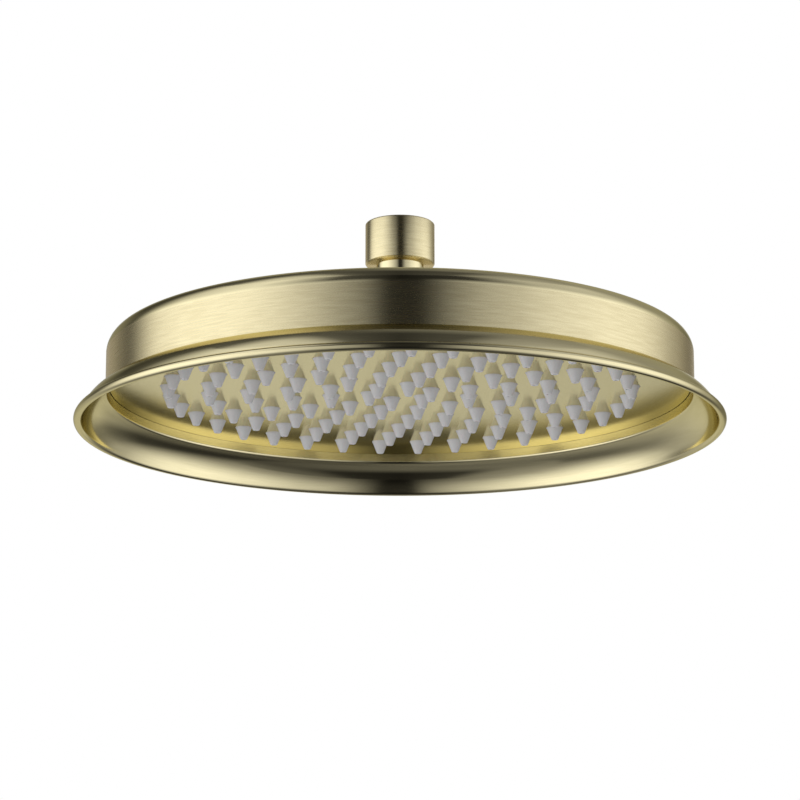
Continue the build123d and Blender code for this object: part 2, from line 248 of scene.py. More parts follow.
@dataclass(frozen=True)
class TurnedBrass(Grained):
    """Brass brushed, spun or turned about the axis.

    Rings of fine scratches pull each highlight out across them, and leave faint streaks that
    run round the piece and fade in and out.
    """

    light: str = "#F9EDC2"
    dark: str = "#F1E4B8"
    roughness: float = 0.27
    depth_mm: float = 0.003
    metallic: float = 1.0
    edge_tint: str = "#F6EBD4"
    roughness_swing: float = 0.03
    grain_mm: float = 0.65  # across a scratch: real ones are finer, and wouldn't show
    detail: float = 2.0
    detail_share: float = 0.5
    streak_mm: float = 9.0  # length after which a scratch fades into another
    anisotropy: float = 0.95
    spread: float = 0.25  # of a turn, so that highlights spread across the scratches

    def pattern(self, tree: NodeTree, place: NodeSocket) -> NodeSocket:
        """Draw the grain out into streaks that run round the axis.

        Args:
            tree: Node tree that takes the nodes.
            place: Coordinates on the piece, in metres.

        Returns:
            The output that holds the tone.
        """
        split = add_node(tree, "SeparateXYZ", {0: place}).outputs
        level = add_node(tree, "CombineXYZ", {"X": split["X"], "Y": split["Y"]}).outputs[0]
        radius = add_node(tree, "VectorMath", {0: level}, operation="LENGTH").outputs["Value"]
        # Across the streaks this runs outwards on level faces and downwards on upright ones
        fall = {0: radius, 1: split["Z"]}
        across = add_node(tree, "Math", fall, operation="SUBTRACT").outputs[0]
        lines = add_node(tree, "CombineXYZ", {"Z": across}).outputs[0]
        drawn_out = {0: level, "Scale": self.grain_mm / self.streak_mm}
        along = add_node(tree, "VectorMath", drawn_out, operation="SCALE").outputs[0]
        streaks = add_node(tree, "VectorMath", {0: lines, 1: along}).outputs[0]
        return super().pattern(tree, streaks)

    def gloss(self, tree: NodeTree, tone: NodeSocket) -> dict[str, Any]:
        """Let the roughness follow the streaks, and stretch the highlights across them.

        Args:
            tree: Node tree that takes the nodes.
            tone: The streaks.

        Returns:
            Names of the shader's inputs, each with its value or the output that feeds it.
        """
        around = add_node(tree, "Tangent", {}, direction_type="RADIAL", axis="Z").outputs[0]
        return {
            **super().gloss(tree, tone),
            "Anisotropic": self.anisotropy,
            "Anisotropic Rotation": self.spread,
            "Tangent": around,
        }


@dataclass(frozen=True)
class StrainerMesh(Finish):
    """Wire cloth: a close square weave of light wires over openings that are painted dark, as
    painted shade.
    """

    pitch_mm: float = 0.9
    wave_low: float = -0.1  # a wave is opening below this and wire above the next
    wave_high: float = 0.35

    def pattern(self, tree: NodeTree, place: NodeSocket) -> NodeSocket:
        """Cross two waves, whose tops are the wires.

        Args:
            tree: Node tree that takes the nodes.
            place: Coordinates on the piece, in metres.

        Returns:
            The output that is 0 in the openings and 1 on the wires.
        """
        split = add_node(tree, "SeparateXYZ", {0: place}).outputs
        turns = FULL_TURN / (self.pitch_mm * MM)
        waves = []
        for way in ("X", "Y"):
            times = {0: split[way], 1: turns}
            angle = add_node(tree, "Math", times, operation="MULTIPLY").outputs[0]
            waves.append(add_node(tree, "Math", {0: angle}, operation="COSINE").outputs[0])
        top = add_node(tree, "Math", dict(enumerate(waves)), operation="MAXIMUM").outputs[0]
        spread = {"Value": top, 1: self.wave_low, 2: self.wave_high}
        return add_node(tree, "MapRange", spread).outputs[0]

    def gloss(self, tree: NodeTree, tone: NodeSocket) -> dict[str, Any]:
        """Make metal of the wires alone."""
        return {"Metallic": tone}


# Brass brushed round: pale gold with soft highlights, and short faint streaks in them
BRUSHED = TurnedBrass("brushed_brass")
# Brass spun and rubbed down: a satin mirror with clear bands of light and dark
SPUN = TurnedBrass(
    "spun_satin_brass",
    light="#F7ECC1",
    dark="#F2E7BB",
    roughness=0.12,
    depth_mm=0.001,
    edge_tint="#E2DCBA",
    roughness_swing=0.01,
    anisotropy=0.35,
)
# The same on the inner side of the drum, less rubbed, with blurred bands; its deeper gold is
# painted reflection, standing in for the gold of the plate and wall that it mirrors
RECESS_PAINTED_REFLECTION = TurnedBrass(
    "satin_brass_recess_painted_reflection",
    # Deeper gold than the spun faces: painted reflection of the gold that the wall mirrors
    light="#EFE2AB",
    dark="#E9DCA5",
    roughness=0.2,
    depth_mm=0.002,
    edge_tint="#E0D8AC",
    roughness_swing=0.01,
    anisotropy=0.5,
)
# Rolled brass sheet with a satin face: an even sheen that mirrors the foot of each nozzle
SATIN = Grained(
    "satin_brass_sheet",
    light="#EFE2AC",
    dark="#E5D8A1",
    roughness=0.17,
    depth_mm=0.003,
    metallic=1.0,
    edge_tint="#FFFDEE",
    roughness_swing=0.03,
)
# Moulded silicone: a dull mid grey, into which a little light soaks
SILICONE = Grained(
    "moulded_silicone",
    light="#AAA9AA",
    dark="#A1A0A2",
    roughness=0.5,
    grain_mm=0.5,
    subsurface=0.06,
    subsurface_mm=0.8,
)
# Brass as it comes off the lathe: a darker yellow, with turning marks that show
PLAIN = TurnedBrass("turned_plain_brass", light="#E6D29A", dark="#CDB67C", roughness=0.28)
# Stainless steel washers and nuts: a cool light grey with a soft shine
STAINLESS = Grained(
    "stainless_steel",
    light="#CDCFD1",
    dark="#B4B7BA",
    roughness=0.3,
    depth_mm=0.004,
    metallic=1.0,
)
# Turned acetal: milky white with a waxy shine
ACETAL = Grained("turned_white_acetal", light="#F1F0EA", dark="#E6E4DC", roughness=0.38)
# Moulded ABS: a plain grey, half dull
ABS = Grained("moulded_grey_abs", light="#8E9194", dark="#7F8285", roughness=0.45)
# Nitrile rubber: nearly black and dull
RUBBER = Grained("black_nitrile_rubber", light="#26272A", dark="#1A1B1D", roughness=0.6)
# Pressed fibre: dry and brick red, in a coarser grain
FIBRE = Grained("pressed_red_fibre", light="#8C4A3A", dark="#6F3529", roughness=0.75, grain_mm=1.2)
# Woven stainless wire: bright wires that glint, over openings painted near black as painted shade
# of the dark space behind them
STRAINER = StrainerMesh(
    "stainless_wire_cloth",
    light="#C9CBCD",
    # Near black in the openings: painted shade of the dark space seen through them
    dark="#131415",
    roughness=0.32,
    depth_mm=0.15,
    bump=0.8,
)


class Wardrobe:
    """Makes each finish's material once."""

    def __init__(self) -> None:
        """Start with no materials."""
        self.made: dict[str, Material] = {}

    def materials(self, *finishes: Finish) -> list[Material]:
        """The materials of some finishes, each made the first time it is asked for."""
        for finish in finishes:
            if finish.name not in self.made:
                self.made[finish.name] = finish.make()
        return [self.made[finish.name] for finish in finishes]


class Lathe:
    """Draws a half section with a pen, to the right of the axis, and spins it about the axis."""

    def __init__(self, radius: float, height: float) -> None:
        """Set the pen down at a radius and a height."""
        self.mesh = bmesh.new()
        self.pen = self.mesh.verts.new((radius * MM, 0, height * MM))
        self.first = self.pen

    def line(self, radius: float, height: float) -> None:
        """Draw a straight line to a radius and a height."""
        self.pen = bmesh.ops.extrude_vert_indiv(self.mesh, verts=[self.pen])["verts"][0]
        self.pen.co = (radius * MM, 0, height * MM)

    def arc(self, centre_r: float, centre_h: float, sweep: float, steps: int) -> None:
        """Draw an arc from the pen about a centre.

        Args:
            centre_r: Radius of the arc's centre.
            centre_h: Height of the arc's centre.
            sweep: Angle of the arc in degrees, anticlockwise with +X right and +Z up.
            steps: Number of straight steps in the arc.
        """
        drawn = bmesh.ops.spin(
            self.mesh,
            geom=[self.pen],
            cent=(centre_r * MM, 0, centre_h * MM),
            axis=(0, -1, 0),
            angle=radians(sweep),
            steps=steps,
        )
        self.pen = next(g for g in drawn["geom_last"] if isinstance(g, BMVert))

    def close(self) -> None:
        """Draw a line back to where the pen started."""
        self.mesh.edges.new((self.pen, self.first))

    def spin(self, steps: int) -> BMesh:
        """Spin the section once round the axis.

        Args:
            steps: Number of steps in the turn.

        Returns:
            The closed mesh, with its normals outwards.
        """
        bmesh.ops.spin(
            self.mesh,
            geom=self.mesh.verts[:] + self.mesh.edges[:],
            cent=(0, 0, 0),
            axis=AXIS,
            angle=FULL_TURN,
            steps=steps,
            use_merge=True,
        )
        bmesh.ops.remove_doubles(self.mesh, verts=self.mesh.verts, dist=MERGE)
        bmesh.ops.recalc_face_normals(self.mesh, faces=self.mesh.faces)
        return self.mesh


def round_creases(mesh: BMesh, width: float, least: float = 30.0, segments: int = 2) -> None:
    """Round the edges at which a mesh turns sharply.

    Args:
        mesh: Mesh to change.
        width: Width of the rounding.
        least: Angle in degrees above which a turn is sharp.
        segments: Steps across the rounding.
    """
    sharp = [e for e in mesh.edges if e.is_manifold and e.calc_face_angle() > radians(least)]
    bmesh.ops.bevel(
        mesh,
        geom=sharp,
        offset=width * MM,
        offset_type="OFFSET",
        segments=segments,
        profile=0.5,
        affect="EDGES",
        material=-1,
        clamp_overlap=True,
    )


def shade(mesh: BMesh, crease: float = 35.0) -> None:
    """Smooth all faces, and keep edges sharp from an angle in degrees upwards."""
    for face in mesh.faces:
        face.smooth = True
    for edge in mesh.edges:
        edge.smooth = not edge.is_manifold or edge.calc_face_angle() < radians(crease)


def join(mesh: BMesh, other: BMesh) -> None:
    """Add another mesh to a mesh, and free the other.

    Args:
        mesh: Mesh that takes the other.
        other: Mesh to add.
    """
    carrier = bpy.data.meshes.new("joined")
    other.to_mesh(carrier)
    other.free()
    mesh.from_mesh(carrier)
    bpy.data.meshes.remove(carrier)


def new_object(mesh: BMesh, name: str, materials: list[Material]) -> Object:
    """Put a mesh into the scene.

    Args:
        mesh: The mesh in metres, at its place. It is freed.
        name: Name of the object.
        materials: Materials in the order of the faces' numbers.

    Returns:
        The object.
    """
    data = bpy.data.meshes.new(name)
    mesh.to_mesh(data)
    mesh.free()
    for material in materials:
        data.materials.append(material)
    made = bpy.data.objects.new(name, data)
    bpy.context.scene.collection.objects.link(made)
    return made


def finish_piece(
    mesh: BMesh,
    name: str,
    node: str,
    body: Body,
    materials: list[Material],
) -> Object:
    """Turn a mesh into a piece that stands for a CAD node.

    Args:
        mesh: The piece in metres, at its place. It is freed.
        name: Name of the piece.
        node: CAD node that the piece replaces.
        body: Body that the piece rides on.
        materials: Materials in the order of the faces' numbers.

    Returns:
        The piece's object.
    """
    piece = new_object(mesh, name, materials)
    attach(piece, body.value)
    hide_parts(node)
    return piece


def top_of(node: str) -> float:
    """Height of a CAD node's top, in millimetres."""
    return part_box(node)[1].z / MM


def foot_of(node: str) -> float:
    """Height of a CAD node's lowest point, in millimetres."""
    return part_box(node)[0].z / MM


@dataclass
class Shell:
    """Drum, flare and rolled lip, spun from one sheet."""

    lip_r: float = 115.0
    bead_r: float = 1.5
    bead_set: float = 0.23  # middle of the lip outside the end of the flare
    flare_w: float = 11.0
    flare_drop: float = 9.8
    flare_start: float = 18.0  # degrees below level
    drum_h: float = 20.4
    drum_round: float = 6.0
    wall: float = 1.0
    hole_r: float = 10.78
    crease: float = 12.0  # degrees
    steps: int = 288
    round_steps: int = 20
    flare_steps: int = 24
    lip_steps: int = 30
    inside_steps: int = 8  # of the bends inside the drum

    def __post_init__(self) -> None:
        """Work out where the drum and the lip are."""
        self.top = top_of("body_shell")
        self.drum_r = self.lip_r - self.flare_w
        self.round_z = self.top - self.drum_round
        self.wall_foot = self.top - self.drum_h
        self.lip = (self.lip_r - self.bead_r, self.wall_foot - self.flare_drop)

    def build(self, wardrobe: Wardrobe) -> list[Object]:
        """Spin the sheet's section and dress it.

        Args:
            wardrobe: Source of the materials.

        Returns:
            The shell alone.
        """
        mesh = self.section().spin(self.steps)
        for face in mesh.faces:
            face.material_index = self.kind(face.calc_center_median() / MM).value
        shade(mesh, crease=self.crease)
        materials = wardrobe.materials(BRUSHED, SPUN, RECESS_PAINTED_REFLECTION)
        return [
            finish_piece(mesh, "spun_shell", "body_shell", Body.HEAD, materials)
        ]

    def section(self) -> Lathe:
        """Draw the sheet's section, from the hole over the drum to the lip, and back inside."""
        round_r = self.drum_r - self.drum_round
        run = self.lip[0] - self.bead_set - self.drum_r
        slope = radians(self.flare_start)
        bend = hypot(run, self.flare_drop) / (2 * sin(atan2(self.flare_drop, run) - slope))
        centre = (self.drum_r - bend * sin(slope), self.wall_foot - bend * cos(slope))
        start = 90 - self.flare_start
        outer, on_lip = self.outer_end(centre, bend)
        inner_centre, inner = self.inner_face(centre, bend)

        lathe = Lathe(self.hole_r, self.top)
        lathe.line(round_r, self.top)
        lathe.arc(round_r, self.round_z, -90, self.round_steps)
        lathe.line(self.drum_r, self.wall_foot)
        lathe.arc(*centre, outer - start, self.flare_steps)
        lathe.arc(*self.lip, inner - on_lip - 180, self.lip_steps)
        lathe.arc(*inner_centre, start - inner, self.flare_steps)
        lathe.arc(self.drum_r, self.wall_foot, -start, self.inside_steps)
        lathe.line(self.drum_r - self.wall, self.round_z)
        lathe.arc(round_r, self.round_z, 90, self.inside_steps)
        lathe.line(self.hole_r, self.top - self.wall)
        lathe.close()
        return lathe

    def outer_end(self, centre: Point, bend: float) -> tuple[float, float]:
        """Find where the flare's outer face runs into the rolled lip.

        Args:
            centre: Middle of the face's bend.
            bend: Radius of the face's bend.

        Returns:
            The meeting point's angle about the bend's middle and about the lip's, in degrees.
        """
        across, up = self.lip[0] - centre[0], self.lip[1] - centre[1]
        apart = hypot(across, up)
        along = (bend**2 - self.bead_r**2 + apart**2) / (2 * apart)
        turn = atan2(up, across) + acos(along / bend)
        point = (centre[0] + bend * cos(turn), centre[1] + bend * sin(turn))
        return degrees(turn), degrees(atan2(point[1] - self.lip[1], point[0] - self.lip[0]))

    def inner_face(self, centre: Point, bend: float) -> tuple[Vector, float]:
        """Find the bend of the flare's inner face, which runs smoothly into the rolled lip.

        Args:
            centre: Middle of the outer face's bend.
            bend: Radius of the outer face's bend.

        Returns:
            The middle of the inner face's bend, and the angle about it at which the face ends.
        """
        slope = radians(self.flare_start)
        out = Vector((sin(slope), cos(slope)))
        first = Vector(centre) + (bend - self.wall) * out
        away = first - Vector(self.lip)
        inner_bend = (away.length_squared - self.bead_r**2) / (2 * (self.bead_r + away.dot(out)))
        middle = first - inner_bend * out
        return middle, degrees(atan2(self.lip[1] - middle.y, self.lip[0] - middle.x))

    def kind(self, middle: Vector) -> ShellFace:
        """Tell what kind of face lies at a place.

        Args:
            middle: Middle of the face, in millimetres.

        Returns:
            The kind, which gives the face its finish.
        """
        on_wall = self.wall_foot < middle.z < self.round_z
        # Faces inside the drum wall take the deeper gold of painted reflection
        if on_wall and middle.xy.length < self.drum_r - self.wall / 2:
            return ShellFace.RECESS_PAINTED_REFLECTION
        if on_wall or middle.z > self.top - self.wall / 2:
            return ShellFace.BRUSHED
        return ShellFace.SPUN


@dataclass
class Stud:
    """Inlet collar with its thread, neck and hollow ball."""

    collar_r: float = 12.4
    collar_h: float = 15.5
    edge: float = 0.5
    edge_round: float = 0.12
    thread_r: float = 10.48
    thread_depth: float = 10.2
    thread_pitch: float = 1.814  # fourteen turns to the inch
    thread_height: float = 1.16
    thread_foot: float = 0.44  # half the ridge's foot, as a share of the pitch
    thread_crest: float = 0.08  # half its crest, likewise
    thread_sunk: float = 0.05  # how far its foot lies in the wall
    relief_r: float = 10.88
    washer_seat: float = -12.5
    screen_seat: float = -12.9
    screen_r: float = 8.45
    regulator_r: float = 6.05
    regulator_seat: float = -20.3
    neck_r: float = 8.4
    ball_r: float = 12.0
    passage_r: float = 5.0
    steps: int = 144
    ball_steps: int = 40
    thread_steps: int = 72  # in each turn of the thread

    def build(self, wardrobe: Wardrobe) -> list[Object]:
        """Spin the stud's section, cut its thread and dress it.

        Args:
            wardrobe: Source of the materials.

        Returns:
            The stud alone.
        """
        neck_angle = acos(self.neck_r / self.ball_r)
        foot_angle = -acos(self.passage_r / self.ball_r)
        lathe = Lathe(self.thread_r + self.edge, 0)
        lathe.line(self.collar_r - self.edge, 0)
        lathe.line(self.collar_r, -self.edge)
        lathe.line(self.collar_r, self.edge - self.collar_h)
        lathe.line(self.collar_r - self.edge, -self.collar_h)
        lathe.line(self.neck_r, -self.collar_h)
        lathe.line(self.neck_r, BALL_Z + self.ball_r * sin(neck_angle))
        lathe.arc(0, BALL_Z, degrees(foot_angle - neck_angle), self.ball_steps)
        lathe.line(self.passage_r, self.regulator_seat)
        lathe.line(self.regulator_r, self.regulator_seat)
        lathe.line(self.regulator_r, self.screen_seat)
        lathe.line(self.screen_r, self.screen_seat)
        lathe.line(self.screen_r, self.washer_seat)
        lathe.line(self.relief_r, self.washer_seat)
        lathe.line(self.relief_r, -self.thread_depth)
        lathe.line(self.thread_r, -self.thread_depth)
        lathe.line(self.thread_r, -self.edge)
        lathe.close()
        mesh = lathe.spin(self.steps)
        round_creases(mesh, self.edge_round)
        # The collar takes the first material, and what is below it the second
        below_collar = -(self.collar_h + self.edge / 2) * MM
        for face in mesh.faces:
            face.material_index = int(face.calc_center_median().z < below_collar)
        self.cut_thread(mesh)
        shade(mesh)
        materials = wardrobe.materials(BRUSHED, SPUN)
        return [
            finish_piece(
                mesh, "turned_ball_stud", "ball_stud", Body.STUD, materials
            )
        ]

    def cut_thread(self, mesh: BMesh) -> None:
        """Wind the thread's ridge up the wall of the inlet.

        Args:
            mesh: The stud, which takes the ridge.
        """
        turns = (self.thread_depth - 2 * self.edge - self.thread_pitch) / self.thread_pitch
        low = -self.thread_depth + self.thread_pitch / 2 + self.edge / 2
        foot = self.thread_pitch * self.thread_foot
        crest = self.thread_pitch * self.thread_crest
        foot_r = self.thread_r + self.thread_sunk
        crest_r = self.thread_r - self.thread_height
        ridge = bmesh.new()
        section = [
            ridge.verts.new((r * MM, 0, (low + h) * MM))
            for r, h in ((foot_r, -foot), (crest_r, -crest), (crest_r, crest), (foot_r, foot))
        ]
        face = ridge.faces.new(section)
        steps = int(turns * self.thread_steps)
        wound = bmesh.ops.spin(
            ridge,
            geom=[face, *face.edges, *face.verts],
            cent=(0, 0, 0),
            axis=AXIS,
            dvec=AXIS * (turns * self.thread_pitch * MM / steps),
            angle=FULL_TURN * turns,
            steps=steps,
        )
        # Both ends of the ridge run out into the wall
        ends = [face] + [g for g in wound["geom_last"] if isinstance(g, BMFace)]
        for end in ends:
            if not end.is_valid:
                continue
            for corner in end.verts:
                flat = Vector((corner.co.x, corner.co.y, 0))
                corner.co += flat.normalized() * (foot_r * MM - flat.length)
        bmesh.ops.recalc_face_normals(ridge, faces=ridge.faces)
        join(mesh, ridge)


@dataclass
class BallJoint:
    """Nut, socket and washer that stand on the drum."""

    nut_r: float = 18.1
    nut_top_w: float = 2.0
    nut_lip_t: float = 1.1
    nut_flat: float = 1.0
    nut_round: float = 0.25
    nut_crease: float = 18.0  # degrees
    lip_angle: float = 62.43  # degrees down from +Z
    slip_in_r: float = 12.3
    liner_seat_r: float = 13.35
    nut_bore_r: float = 15.55
    socket_r: float = 15.5
    socket_round: float = 0.2
    cavity_r: float = 13.6
    rim_rise: float = 1.5
    flange_r: float = 19.0
    flange_h: float = 2.5
    seal_seat_r: float = 8.68
    seal_seat_drop: float = 11.895
    shank_r: float = 10.48
    shank_bore_r: float = 5.5
    washer_hole_r: float = 10.78
    washer_round: float = 0.15
    steps: int = 144
    lip_steps: int = 4
    liner_steps: int = 6
    cavity_steps: int = 16

    def build(self, wardrobe: Wardrobe) -> list[Object]:
        """Build and dress the three pieces."""
        return [self.nut(wardrobe), self.socket(wardrobe), self.washer(wardrobe)]

    def nut(self, wardrobe: Wardrobe) -> Object:
        """Spin the nut, cut its two wrench flats and round its edges.

        Args:
            wardrobe: Source of the material.

        Returns:
            The nut.
        """
        foot = foot_of("ball_nut")
        rim = BALL_Z + self.rim_rise
        lip_r = self.slip_in_r * sin(radians(self.lip_angle))
        lip_h = self.slip_in_r * cos(radians(self.lip_angle))
        seat_h = lip_h - self.nut_lip_t
        lip_sweep = degrees(asin(seat_h / self.slip_in_r)) - 90 + self.lip_angle
        liner_sweep = asin(self.rim_rise / self.liner_seat_r) - asin(seat_h / self.liner_seat_r)
        lathe = Lathe(self.nut_bore_r, foot)
        lathe.line(self.nut_r, foot)
        lathe.line(self.nut_r, rim)
        lathe.line(lip_r + self.nut_top_w, BALL_Z + lip_h)
        lathe.line(lip_r, BALL_Z + lip_h)
        lathe.arc(0, BALL_Z, lip_sweep, self.lip_steps)
        lathe.line(sqrt(self.liner_seat_r**2 - seat_h**2), BALL_Z + seat_h)
        lathe.arc(0, BALL_Z, degrees(liner_sweep), self.liner_steps)
        lathe.line(self.nut_bore_r, rim)
        lathe.close()
        mesh = lathe.spin(self.steps)
        for side in (1, -1):
            cut = bmesh.ops.bisect_plane(
                mesh,
                geom=mesh.verts[:] + mesh.edges[:] + mesh.faces[:],
                dist=MERGE,
                plane_co=(side * (self.nut_r - self.nut_flat) * MM, 0, 0),
                plane_no=(side, 0, 0),
                clear_outer=True,
            )
            rims = [g for g in cut["geom_cut"] if isinstance(g, BMEdge)]
            bmesh.ops.edgeloop_fill(mesh, edges=rims)
        bmesh.ops.recalc_face_normals(mesh, faces=mesh.faces)
        round_creases(mesh, self.nut_round, least=self.nut_crease)
        shade(mesh)
        materials = wardrobe.materials(BRUSHED)
        return finish_piece(
            mesh, "ball_joint_nut", "ball_nut", Body.HEAD, materials
        )

    def socket(self, wardrobe: Wardrobe) -> Object:
        """Spin the socket's cup, flange and shank.

        Args:
            wardrobe: Source of the material.

        Returns:
            The socket.
        """
        foot = foot_of("socket")
        rim = BALL_Z + self.rim_rise
        flange = top_of("shell_washer")
        seal_seat = BALL_Z - self.seal_seat_drop
        sweep = -acos(self.seal_seat_r / self.cavity_r) - asin(self.rim_rise / self.cavity_r)
        lathe = Lathe(self.shank_bore_r, foot)
        lathe.line(self.shank_r, foot)
        lathe.line(self.shank_r, flange)
        lathe.line(self.flange_r, flange)
        lathe.line(self.flange_r, flange + self.flange_h)
        lathe.line(self.socket_r, flange + self.flange_h)
        lathe.line(self.socket_r, rim)
        lathe.line(sqrt(self.cavity_r**2 - self.rim_rise**2), rim)
        lathe.arc(0, BALL_Z, degrees(sweep), self.cavity_steps)
        lathe.line(self.seal_seat_r, seal_seat)
        lathe.line(self.shank_bore_r, seal_seat)
        lathe.close()
        mesh = lathe.spin(self.steps)
        round_creases(mesh, self.socket_round)
        shade(mesh)
        materials = wardrobe.materials(PLAIN)
        return finish_piece(mesh, "ball_socket", "socket", Body.HEAD, materials)

    def washer(self, wardrobe: Wardrobe) -> Object:
        """Spin the fibre washer under the flange.

        Args:
            wardrobe: Source of the material.

        Returns:
            The washer.
        """
        top, foot = top_of("shell_washer"), foot_of("shell_washer")
        lathe = Lathe(self.washer_hole_r, foot)
        lathe.line(self.flange_r, foot)
        lathe.line(self.flange_r, top)
        lathe.line(self.washer_hole_r, top)
        lathe.close()
        mesh = lathe.spin(self.steps)
        round_creases(mesh, self.washer_round)
        shade(mesh)
        materials = wardrobe.materials(FIBRE)
        return finish_piece(mesh, "fibre_washer", "shell_washer", Body.HEAD, materials)


@dataclass
class NozzleMat:
    """Silicone mat with rings of conical nozzles on its underside."""

    mat_r: float = 93.0
    mat_t: float = 1.5
    rings: int = 6
    first_ring_r: float = 11.3
    ring_step: float = 14.1
    more_per_ring: int = 6
    line_angle: float = 105.25  # direction on which every ring has a nozzle
    base_r: float = 3.15
    tip_r: float = 1.36
    height: float = 4.5
    root: float = 0.2  # how far a nozzle reaches into the mat
    foot_h: float = 0.5
    foot_w: float = 0.34  # spread of a nozzle's foot on the plate
    orifice_r: float = 0.5
    orifice_h: float = 1.0
    tip_round: float = 0.4
    tip_sweep: float = 68.0  # degrees from the tip's face to its side
    tip_steps: int = 2
    nozzle_steps: int = 14
    mat_steps: int = 96

    def build(self, wardrobe: Wardrobe) -> list[Object]:
        """Spin the mat, and set the rings of nozzles into it.

        Args:
            wardrobe: Source of the material.

        Returns:
            The mat alone.
        """
        chamber = top_of("nozzle_mat")
        seat = chamber - self.mat_t
        tip = foot_of("nozzle_mat")
        lathe = Lathe(0, seat)
        lathe.line(self.mat_r, seat)
        lathe.line(self.mat_r, chamber)
        lathe.line(0, chamber)
        mesh = lathe.spin(self.mat_steps)
        for ring in range(self.rings):
            self.add_ring(mesh, seat, tip, ring)
        shade(mesh)
        materials = wardrobe.materials(SILICONE)
        return [
            finish_piece(mesh, "nozzle_field", "nozzle_mat", Body.HEAD, materials)
        ]

    def add_ring(self, mesh: BMesh, seat: float, tip: float, ring: int) -> None:
        """Spin one nozzle, and copy it round a ring.

        Args:
            mesh: The mat, which takes the nozzles.
            seat: Height of the mat's underside.
            tip: Height of the nozzles' tips.
            ring: Number of the ring, from 0 in the middle.
        """
        lathe = Lathe(0, tip + self.orifice_h)
        lathe.line(self.orifice_r, tip + self.orifice_h)
        lathe.line(self.orifice_r, tip)
        lathe.line(self.tip_r - self.tip_round, tip)
        lathe.arc(self.tip_r - self.tip_round, tip + self.tip_round, self.tip_sweep, self.tip_steps)
        lathe.line(self.base_r - self.foot_w, tip + self.height - self.foot_h)
        lathe.line(self.base_r, tip + self.height)
        lathe.line(self.base_r, seat + self.root)
        lathe.line(0, seat + self.root)
        nozzles = lathe.spin(self.nozzle_steps)
        ring_r = (self.first_ring_r + ring * self.ring_step) * MM
        line = radians(self.line_angle)
        bmesh.ops.translate(
            nozzles, verts=nozzles.verts, vec=(ring_r * cos(line), ring_r * sin(line), 0)
        )
        count = self.more_per_ring * (ring + 1)
        bmesh.ops.spin(
            nozzles,
            geom=nozzles.verts[:] + nozzles.edges[:] + nozzles.faces[:],
            cent=(0, 0, 0),
            axis=AXIS,
            angle=FULL_TURN * (count - 1) / count,
            steps=count - 1,
            use_duplicate=True,
        )
        join(mesh, nozzles)


class KeptPieces:
    """CAD nodes whose shape is right, and which only need their finish."""

    FINISHES: ClassVar[dict[str, Finish]] = {
        "face_plate": SATIN,
        "inlet_insert": PLAIN,
        "filter_screen": STRAINER,
        "stud_washers": STAINLESS,
        "stud_nuts": STAINLESS,
        "flow_regulator": ACETAL,
        "slip_ring": ACETAL,
        "nut_liner": ACETAL,
        "chamber_cover": ABS,
        "diffuser": ABS,
        "inlet_washer": RUBBER,
        "regulator_o_ring": RUBBER,
        "ball_seal": RUBBER,
        "shank_o_ring": RUBBER,
    }

    def build(self, wardrobe: Wardrobe) -> list[Object]:
        """Give each kept node its material.

        Args:
            wardrobe: Source of the materials.

        Returns:
            The nodes.
        """
        nodes = []
        for name, finish in self.FINISHES.items():
            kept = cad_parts[name]
            if not kept.material_slots:
                kept.data.materials.append(None)
            for slot in kept.material_slots:
                slot.material = wardrobe.materials(finish)[0]
            nodes.append(kept)
        return nodes


